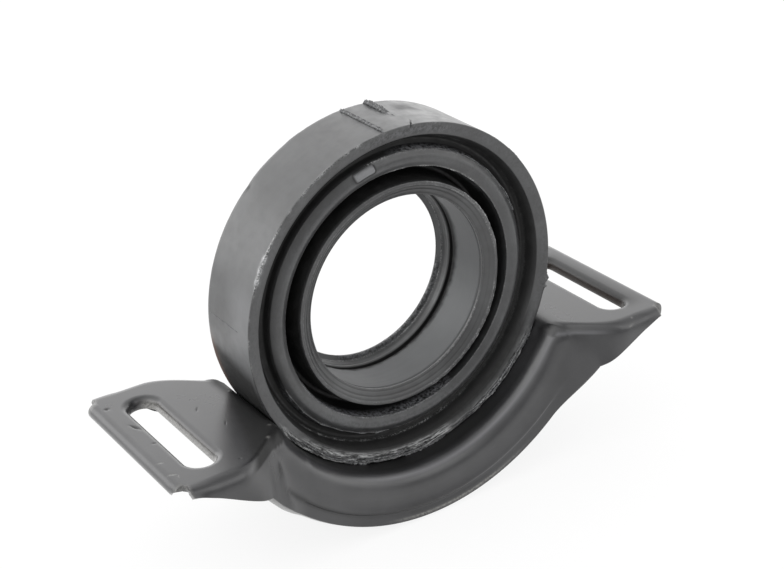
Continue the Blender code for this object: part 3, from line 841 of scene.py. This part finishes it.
def skirtDrop(x, corner):
    t = (x - skirtEnd) / (sideX - corner["gap"] - skirtEnd)
    shape = 1 - eased(t) * 0.55 - t * 0.45
    return c.cornerFlange + (c.skirt - c.cornerFlange) * max(shape, 0.0)


def webShare(i):
    # closer steps towards the bend, so the flat shades flat
    return 1 - (1 - i / n.web) ** 1.7


def webPoints(middle, edge):
    return [middle.lerp(edge, webShare(i)) for i in range(n.web + 1)]


def wallPoints(start, end, crease):
    # down the face: hollow flare, the pressed crease, then the lip
    height = c.flange - c.saddleBend
    top = (c.crease - c.saddleBend) / height
    under = top + c.creaseWidth / height
    out = end.y - start.y
    half = n.wall // 2
    stops = [top * (i + 1) / half for i in range(half)]
    stops += [top + (under - top) * t for t in (0.25, 0.5, 0.75, 1.0)]
    rest = n.wall - len(stops)
    stops += [1 - (1 - under) * (1 - (i + 1) / rest) ** 1.5 for i in range(rest)]
    points = []
    for t in stops:
        if t <= top:
            bulge = -c.creaseOut * (t / top) ** 2.2
        elif t <= under:
            bulge = -c.creaseOut + c.creaseStep * eased((t - top) / (under - top))
        else:
            bulge = -c.creaseOut + c.creaseStep
            bulge += (out + c.creaseOut - c.creaseStep) * (t - under) / (1 - under)
        points.append(start.lerp(end, t) + Vector((0, (bulge - out * t) * crease, 0)))
    return points


def saddleRow(angle, strength):
    radial = Vector((sin(angle), 0, -cos(angle)))
    middle = radial * c.webRadius
    edge = middle + forwards * halfWeb
    top = radial * (c.webRadius + c.saddleBend)
    top.y = -wallOffset(top.x)
    share = angle / neckAngle
    lip = lipPoint(angle * (1 - c.lipLag * share ** 2))
    row = webPoints(middle, edge) + bendPoints(edge, forwards, top, radial, n.bend)
    return row + wallPoints(top, lip, strength * (1 - eased(4 * share - 3)))


def skirtPoints(x, corner):
    left = max(1 - (x - neckEnd) / (widensAt - 4 - neckEnd), 0.0)
    edge = earFront(x)
    out = earOutward(x)
    drop = skirtDrop(x, corner)
    turn = acos(max(1 - (drop - 0.6) / c.fold, 0.0))
    full = turn > 1.5              # the fold reaches upright only where the skirt is deep
    top = edge + out * c.fold * sin(turn)
    top.x = x + (neckCorner + c.neckSpread - neckEnd) * left ** 2
    if full:
        top.y = -wallOffset(top.x)
    top.z = earTop - c.fold * (1 - cos(turn))
    neckLip = lipPoint(neckAngle * (1 - c.lipLag)).x + c.neckSpread
    endX = x + (neckLip - neckEnd) * left ** 1.5
    if endX < skirtEnd:
        end = lipPoint(asin(min(endX / spreadRadius, 1.0)))
    elif full:
        end = Vector((endX, -edgeOffset(endX), earTop - drop))
    else:
        end = top + out * cos(turn) * 0.6 / sin(turn)
        end.z = earTop - drop
    end.x -= corner["lean"] * unit((x - sideX + corner["gap"] + 5) / 5)
    down = (end - top).normalized()
    return bendPoints(edge, out, top, down, n.bend) + wallPoints(top, end, 0.0)


def neckRow(angle, strength, corner):
    centre = Vector(((c.webRadius + c.earBend) * sin(neckAngle), 0, earTop - c.earBend))
    middle = centre + Vector((-sin(angle), 0, cos(angle))) * c.earBend
    edge = middle + forwards * halfWeb
    share = 1 - angle / neckAngle
    saddle = saddleRow(neckAngle, strength)
    ear = skirtPoints(neckEnd, corner)
    top = saddle[n.web + n.bend].lerp(ear[n.bend - 1], share)
    end = saddle[-1].lerp(ear[-1], share)
    out = forwards.lerp(earOutward(neckEnd), share ** 2).normalized()
    down = (end - top).normalized()
    row = webPoints(middle, edge) + bendPoints(edge, out, top, down, n.bend)
    return row + wallPoints(top, end, 0.0)


def earRow(x, corner):
    return webPoints(Vector((x, 0, earTop)), earFront(x)) + skirtPoints(x, corner)


def slotRim():
    # points round half of the slot's upper rim, each with the direction into the slot
    reach = slotHalf + c.collarRadius
    straight = (c.slotLength - c.slotWidth) / 2
    rim = [(Vector((slotX - reach, -straight * webShare(i), earTop)), sideways) for i in range(n.web)]
    for i in range(n.skirt + 2):
        turn = pi + pi * i / (n.skirt + 1)
        into = Vector((-cos(turn), -sin(turn), 0))
        rim.append((Vector((slotX, -straight, earTop)) - into * reach, into))
    for i in range(1, n.side + 1):
        rim.append((Vector((slotX + reach, -straight * (1 - i / n.side), earTop)), -sideways))
    return rim


def collarRow(point, into):
    low = point + (into + downwards) * c.collarRadius
    row = [point] + bendPoints(point, into, low, downwards, n.collar)
    return row + [low + downwards * (c.collarHeight - c.collarRadius) * t for t in (0.5, 1.0)]


def rollRow(point, cornerY, corner):
    centre = point + downwards * c.sideRoll
    along = point.y / cornerY
    full = radians(c.sideTurn + (corner["turn"] - c.sideTurn) * eased(along * 5 - 4))
    row = []
    for i in range(c.rollSteps + 1):
        turn = full * i / c.rollSteps
        hang = corner["hang"] * eased(along * 1.2 - 0.2) * eased((turn - 1.2) / 0.8)
        row.append(centre + Vector((sin(turn), 0, cos(turn))) * c.sideRoll + downwards * hang)
    return row


def patchGrids(innerX, corner):
    # level plate round the slot, its collar, the rolled side edge and the front skirt
    cornerX = sideX - corner["gap"]
    cornerY = -earHalf + corner["step"]
    frontXs = [innerX + (cornerX - innerX) * i / n.skirt for i in range(n.skirt + 1)]
    side = [Vector((sideX, cornerY * (1 - i / n.side), earTop)) for i in range(n.side + 1)]
    outer = webPoints(Vector((innerX, 0, earTop)), earFront(innerX))[:-1]
    outer += [earFront(x) for x in frontXs] + side
    slot = slotRim()
    lands = [eased(i / n.land) for i in range(n.land + 1)]
    return [
        [[o.lerp(s[0], t) for t in lands] for o, s in zip(outer, slot)],
        [collarRow(point, into) for point, into in slot],
        [rollRow(point, cornerY, corner) for point in side],
        [[earFront(x)] + skirtPoints(x, corner) for x in frontXs],
    ]


# Small marks in the paint: place, half length and half width in mm, direction in degrees seen
# from above, depth, and shade (pale above 0, dark below).
paintMarks = [
    ((-82.3, 7.6, -22.9), 1.8, 0.42, -68, 0.30, -0.9), ((-82.7, 7.9, -22.9), 1.4, 0.25, -68, -0.10, 0.35),
    ((-84.4, 21.8, -22.9), 0.7, 0.55, 0, 0.22, -0.8), ((-63.5, 5.4, -22.9), 1.1, 0.22, 57, 0.16, -0.9),
    ((-81.8, -3.4, -22.9), 0.6, 0.4, -30, 0.12, -0.5), ((-85.2, -13.6, -22.9), 0.9, 0.22, -20, 0.05, 0.9),
    ((-85.3, -20.7, -22.9), 1.2, 0.25, -25, 0.05, 0.8), ((-84.4, -22.6, -22.9), 0.5, 0.2, 40, 0.05, 0.6),
    ((-60.5, -6.4, -22.9), 1.0, 0.18, 60, 0.05, -0.6), ((-61.1, -25.9, -22.9), 0.6, 0.5, 0, 0.10, -0.7),
    ((-66.4, -25.0, -22.9), 0.4, 0.3, 0, 0.08, -0.6),
    ((-51.0, -14.8, -23.2), 0.5, 0.4, 0, -0.30, 0.5), ((-54.5, -20.1, -22.9), 0.6, 0.35, 20, -0.35, 0.7),
    ((-52.2, -21.1, -22.9), 0.4, 0.3, 0, -0.30, 0.5), ((-50.6, 8.7, -23.2), 0.5, 0.4, 0, -0.30, 0.5),
    ((73.3, -29.6, -23.1), 0.35, 0.3, 0, 0.05, 0.8), ((70.9, -31.6, -24.7), 1.6, 0.45, 20, 0.02, 0.35),
    ((-52.2, -23.5, -40.0), 0.9, 0.9, 0, 0.45, -0.9), ((-51.2, -23.4, -41.4), 0.7, 0.7, 0, 0.20, -0.4),
]
finestEdge = 0.34         # mm, beside the marks

# Vertex layers of the cradle: pale wear with painted highlights, rust, grime with painted shade, and painted
# highlights on the crests.
cradleMarks = ("wearAndHighlight", "rust", "grimeAndShade", "highlight")


def markPaint(work, wearAndHighlight, grimeAndShade):
    # splits the mesh finely round each mark, then presses the mark in
    for place, half, wide, turn, deep, shade in paintMarks:
        centre = Vector(place)
        for _ in range(6):
            near = []
            for edge in work.edges:
                a, b = (vert.co for vert in edge.verts)
                if (a - b).length > finestEdge:
                    t = unit((centre - a).dot(b - a) / (b - a).length_squared)
                    if (a.lerp(b, t) - centre).length < half + 0.7:
                        near.append(edge)
            if not near:
                break
            bmesh.ops.subdivide_edges(work, edges=near, cuts=1, use_grid_fill=True)
        work.normal_update()
        along = Vector((cos(radians(turn)), sin(radians(turn)), 0))
        for vert in work.verts:
            away = vert.co - centre
            if away.length < half * 2.5:
                a = away.dot(along)
                b = (away - a * along).length
                strength = exp(-(a / half) ** 2 - (b / wide) ** 2)
                vert.co -= vert.normal * deep * strength
                layer = wearAndHighlight if shade > 0 else grimeAndShade
                vert[layer] = max(vert[layer], abs(shade) * strength)


def wearAndPaintedLight(x, y, z):
    # the pale wear with painted highlight, rust, grime with painted shade, and painted crest highlight at a
    # place on the cradle
    radius = hypot(x, z)
    degrees = atan2(z, x) * 180 / pi % 360
    wearAndHighlight = rust = grimeAndShade = highlight = 0.0
    if z < earTop - 3:
        # painted shade on the web beside the ring, fainter towards the right, and a painted highlight along
        # the bend's crest
        onWeb = radius < 57
        right = eased((degrees - 285) / 35)
        grimeAndShade = (0.85 - 0.5 * right) * unit((18.4 - abs(y)) / 2.2) * onWeb
        if y < 0:
            crest = eased((degrees - 236) / 24) * (1 - 0.4 * right)
            highlight = crest * bell(abs(y) - 19.6, 0.6) * onWeb
    elif x < 0:
        # painted shade and a painted dark reflection of the ring on the left ear beside it
        grimeAndShade = 0.95 * eased((x + 56.8 - 0.3 * min(max(y, -30), 8)) / 3.5)
    else:
        # right ear: painted shade beside the ring and on the outer strip beside the slot, and a painted
        # highlight along the front fold
        beside = (x - slotX - slotHalf) / 7
        outside = 0.6 * (1 - eased(beside)) * (beside > -0.4) * eased((26 - abs(y)) / 7)
        grimeAndShade = max(0.5 * unit(1 - (radius - 54.5) / 4.5), outside)
        highlight = 0.6 * (y < -20) * eased((67 - x) / 8) * bell(z + 25.4, 0.6)
    if y < -20 and radius > 60:
        # painted shade in a line under the crease at the left, and a painted highlight along the lip's edge
        # in the middle
        left = eased((292 - degrees) / 40) * eased((degrees - 213) / 9)
        grimeAndShade = max(grimeAndShade, 0.6 * left * bell(radius - c.webRadius - c.crease - 0.35, 0.8))
        bright = eased((degrees - 252) / 14) * eased((306 - degrees) / 22)
        wearAndHighlight = 0.8 * bright * bell(radius - lipRadius + 0.75, 0.35)
    # slots: a painted highlight and a breath of rust on the left slot's inner wall; rust and painted shade
    # on the right slot's outer wall
    if abs(abs(x) - slotX) < slotHalf + 0.9 and abs(y) < 24 and z < earTop - 0.7:
        towards = (abs(x) - slotX) / slotHalf      # 1 on the outer side of the slot
        low = unit((earTop - 0.7 - z) / 1.2)
        if x < 0:
            wearAndHighlight = max(wearAndHighlight, 0.75 * low * eased(-towards * 1.6))
            rust = 0.1 * eased(0.4 - towards)
        else:
            rust = 0.9 * low * eased(towards * 1.6)
            grimeAndShade = max(grimeAndShade, 0.5 * eased(towards * 1.6))
    return wearAndHighlight, rust, grimeAndShade, highlight


# The press leaves no sharp folds where the saddle runs into the ears, so the mesh is smoothed
# there: from x, to x, beyond y, from z, to z.
foldArea = (42, 78, 17, -47, -23.3)


def inFold(vert):
    x, y, z = vert.co
    nearX, farX, beyondY, lowZ, highZ = foldArea
    return nearX < abs(x) < farX and abs(y) > beyondY and lowZ < z < highZ and not vert.is_boundary


def buildCradle():
    work = bmesh.new()
    wearAndHighlight, rust, grimeAndShade, highlight = (work.verts.layers.float.new(name) for name in cradleMarks)
    patchX = slotX - slotHalf - c.collarRadius - c.slotLand
    # the die crease is plain to see at the left of the front face and dies out to the right
    plain, faint = 1.0, 0.35
    for (sx, sy), corner in cradleCorners.items():
        strength = plain if sx * sy < 0 else faint
        middle = (plain + faint) / 2
        rows = []
        for i in range(n.saddle + 1):
            share = i / n.saddle
            rows.append(saddleRow(neckAngle * share, middle + (strength - middle) * eased(share * 2.5)))
        rows += [neckRow(neckAngle * (1 - i / n.neck), strength, corner) for i in range(1, n.neck)]
        rows += [earRow(neckEnd + (patchX - neckEnd) * i / n.ear, corner) for i in range(n.ear + 1)]
        for grid in [rows] + patchGrids(patchX, corner):
            made = [[work.verts.new((p.x * sx, p.y * sy, p.z)) for p in row] for row in grid]
            for first, second in zip(made, made[1:]):
                for i in range(len(first) - 1):
                    quad = (first[i], first[i + 1], second[i + 1], second[i])
                    work.faces.new(quad if sx * sy > 0 else quad[::-1])
    bmesh.ops.remove_doubles(work, verts=work.verts, dist=0.01)
    folds = [vert for vert in work.verts if inFold(vert)]
    for _ in range(10):
        bmesh.ops.smooth_vert(work, verts=folds, factor=0.5,
                              use_axis_x=True, use_axis_y=True, use_axis_z=True)
    bmesh.ops.recalc_face_normals(work, faces=work.faces)
    top = max(work.faces, key=lambda f: f.calc_center_median().z - abs(f.calc_center_median().x) * 0.001)
    if top.normal.z < 0:
        bmesh.ops.reverse_faces(work, faces=work.faces)
    for vert in work.verts:
        vert[wearAndHighlight], vert[rust], vert[grimeAndShade], vert[highlight] = wearAndPaintedLight(*vert.co)
        if vert.is_boundary:
            vert[wearAndHighlight] = max(vert[wearAndHighlight], 0.35)
    markPaint(work, wearAndHighlight, grimeAndShade)
    return closeMesh(work, "pressedCradle")


# Black paint on pressed steel: satin, slightly dusty, with a faint orange peel; the sheared edges show thin
# paint that has rubbed to grey, the slot walls a breath of rust, and the vertex layers painted highlights
# and painted shade.
paintLook = {
    "paint": "#1d1d1f", "dust": "#2f2f31", "paleWearAndHighlight": "#9a9995", "highlightGrey": "#616164", "rust": "#4a3c34",
    "grimeAndShade": "#0a0a0a", "roughness": (0.25, 0.39), "underside": (0.57, 0.71), "ior": 1.5,
    "peelDepth": 0.03, "scratchDepth": 0.05,          # mm
    "lacquer": 0.8, "lacquerRoughness": 0.28,         # the clear top of the baked paint
    "grains": {                                       # mm
        "peel": (1.3, 2.0, 0.5), "cloud": (22.0, 4.0, 0.6), "scratch": (0.7, 5.0, 0.7),
    },
}


def paintMaterial(name, edge=False, under=False):
    look = paintLook
    made, add = newMaterial(name)
    _, mark, grain = readSurface(add, cradleMarks, look["grains"])
    cloudy = add("MapRange", {"Value": grain["cloud"], "From Min": 0.38, "From Max": 0.70})
    colour = add("Mix", {0: cloudy, 6: look["paint"], 7: look["dust"]}, give=2, data_type="RGBA")
    inputs = {"Value": grain["scratch"], "From Min": 0.30, "From Max": 0.58, "To Max": 0.85}
    paleWearAndHighlight = add("MapRange", inputs)
    wearAndHighlightShare = add("Math", {0: paleWearAndHighlight, 1: mark["wearAndHighlight"]}, operation="MULTIPLY")
    # rust, grime with painted shade, painted crest highlight, then pale wear with painted highlight broken
    # up by scratches
    for share, key in ((mark["rust"], "rust"), (mark["grimeAndShade"], "grimeAndShade"),
                       (mark["highlight"], "highlightGrey"), (wearAndHighlightShare, "paleWearAndHighlight")):
        colour = add("Mix", {0: share, 6: colour, 7: look[key]}, give=2, data_type="RGBA")
    bump = add("Bump", {"Strength": 0.12, "Distance": look["peelDepth"] * mm, "Height": grain["peel"]})
    bump = add("Bump", {
        "Strength": 0.2 if edge else 0.06, "Distance": look["scratchDepth"] * mm,
        "Height": grain["scratch"], "Normal": bump})
    least, most = look["underside" if under else "roughness"]
    inputs = {"Value": grain["cloud"], "From Min": 0.3, "From Max": 0.7, "To Min": least, "To Max": most}
    gloss = add("MapRange", inputs)
    gloss = add("Math", {0: mark["grimeAndShade"], 1: 0.25, 2: gloss}, operation="MULTIPLY_ADD")
    clear = 0.0 if under else look["lacquer"]
    lacquer = add("Math", {0: mark["grimeAndShade"], 1: -clear, 2: clear}, operation="MULTIPLY_ADD")
    surface = add("BsdfPrincipled", {
        "Base Color": colour, "Roughness": gloss, "IOR": look["ior"], "Metallic": 0.0,
        "Coat Weight": lacquer, "Coat Roughness": look["lacquerRoughness"], "Normal": bump})
    add("OutputMaterial", {"Surface": surface})
    return made


# Satin paint on top, thinner paint on the inside of the sheet, and rubbed paint on its edges.
cradlePaints = [
    paintMaterial("satinBlackPaint"), paintMaterial("rubbedPaintEdge", edge=True),
    paintMaterial("thinPaintBelow", under=True),
]
cradle = newPiece("pressedCradle", buildCradle(), cradlePaints, "bracket")
thick = cradle.modifiers.new("sheet", "SOLIDIFY")
thick.thickness = c.sheet * mm
thick.offset = -1.0
thick.use_even_offset = True
thick.material_offset = 2
thick.material_offset_rim = 1
edges = cradle.modifiers.new("shearedEdges", "BEVEL")
edges.limit_method = "ANGLE"
edges.angle_limit = radians(60)
edges.width = c.edgeRound * mm
edges.segments = 2
edges.use_clamp_overlap = True
print("pressed cradle:", len(cradle.data.polygons), "faces on the upper side")


# Broad soft bands of light in a pale room, and a ring of square soft panels. Directions are
# degrees anticlockwise from +X, seen from above; the level is brightness, where 1 is a white wall.
stageLook = {
    "floor": "#f4f4f4", "floorGlow": 0.85, "floorHalf": 6.0, "floorDrop": 0.0002,      # metres
    "room": 0.41, "glowPower": 4.0, "panelSize": 0.6, "panelDistance": 1.1,
    "glows": [           # (direction, height above the horizon, level)
        (0, 12, 1.00), (45, 12, 0.10), (90, 12, 1.57), (135, 12, 0.13), (180, 12, 1.37), (315, 12, 0.13),
        (120, 55, 0.16), (210, 55, 0.75), (300, 55, 0.07),
    ],
    "panels": [          # the same
        (56, 12, 0.36), (125, 12, 0.89), (160, 12, 0.94), (200, 12, 0.08), (340, 12, 0.52),
        (90, 35, 0.09), (150, 35, 0.44), (190, 35, 0.82), (240, 35, 0.19), (300, 35, 1.08),
        (40, 62, 0.46), (90, 62, 0.32), (140, 62, 0.35), (220, 62, 0.26),
    ],
}
white = "#ffffff"


def outward(direction, height):
    turn, rise = radians(direction), radians(height)
    return Vector((cos(turn) * cos(rise), sin(turn) * cos(rise), sin(rise)))


def buildFloor():
    look = stageLook
    made, add = newMaterial("paleSweep")
    path = add("LightPath").node.outputs
    seen = add("Math", {0: path["Is Camera Ray"], 1: path["Is Glossy Ray"]}, operation="MAXIMUM")
    share = add("Math", {0: seen, 1: look["floorGlow"]}, operation="MULTIPLY")
    matt = add("BsdfDiffuse", {"Color": look["floor"]})
    bright = add("Emission", {"Color": white, "Strength": 1.0})
    add("OutputMaterial", {"Surface": add("MixShader", {0: share, 1: matt, 2: bright})})
    half = look["floorHalf"]
    data = bpy.data.meshes.new("floor")
    square = [(-half, -half, 0), (half, -half, 0), (half, half, 0), (-half, half, 0)]
    data.from_pydata(square, [], [(0, 1, 2, 3)])
    data.materials.append(made)
    thing = newObject("floor", data)
    thing.location.z = -look["floorDrop"]


def buildPanels():
    size = stageLook["panelSize"]
    for direction, height, level in stageLook["panels"]:
        away = outward(direction, height)
        data = bpy.data.lights.new("panel", "AREA")
        data.size = size
        data.energy = level * pi * size * size      # watts that give this brightness
        thing = newObject("panel", data)
        thing.location = away * stageLook["panelDistance"] + Vector((0, 0, axisHeight))
        thing.rotation_euler = (-away).to_track_quat("-Z", "Y").to_euler()
        thing.visible_camera = False


def buildRoom():
    world = bpy.data.worlds.new("paleRoom")
    bpy.context.scene.world = world
    world.use_nodes = True
    world.node_tree.nodes.clear()
    add = partial(addNode, world.node_tree)
    ray = add("TexCoord", give="Generated")
    level = add("Math", {0: stageLook["room"], 1: 0.0}, operation="ADD")
    for direction, height, amount in stageLook["glows"]:
        inputs = {0: ray, 1: outward(direction, height)}
        facing = add("VectorMath", inputs, give="Value", operation="DOT_PRODUCT")
        for value, kind in ((0.0, "MAXIMUM"), (stageLook["glowPower"], "POWER")):
            facing = add("Math", {0: facing, 1: value}, operation=kind)
        level = add("Math", {0: facing, 1: amount, 2: level}, operation="MULTIPLY_ADD")
    seen = add("LightPath", give="Is Camera Ray")
    level = add("Mix", {0: seen, 2: level, 3: 1.0})
    back = add("Background", {"Color": white, "Strength": level})
    add("OutputWorld", {"Surface": back})


buildFloor()
buildPanels()
buildRoom()
bpy.context.scene.view_settings.view_transform = "Standard"
print("floor and light set")
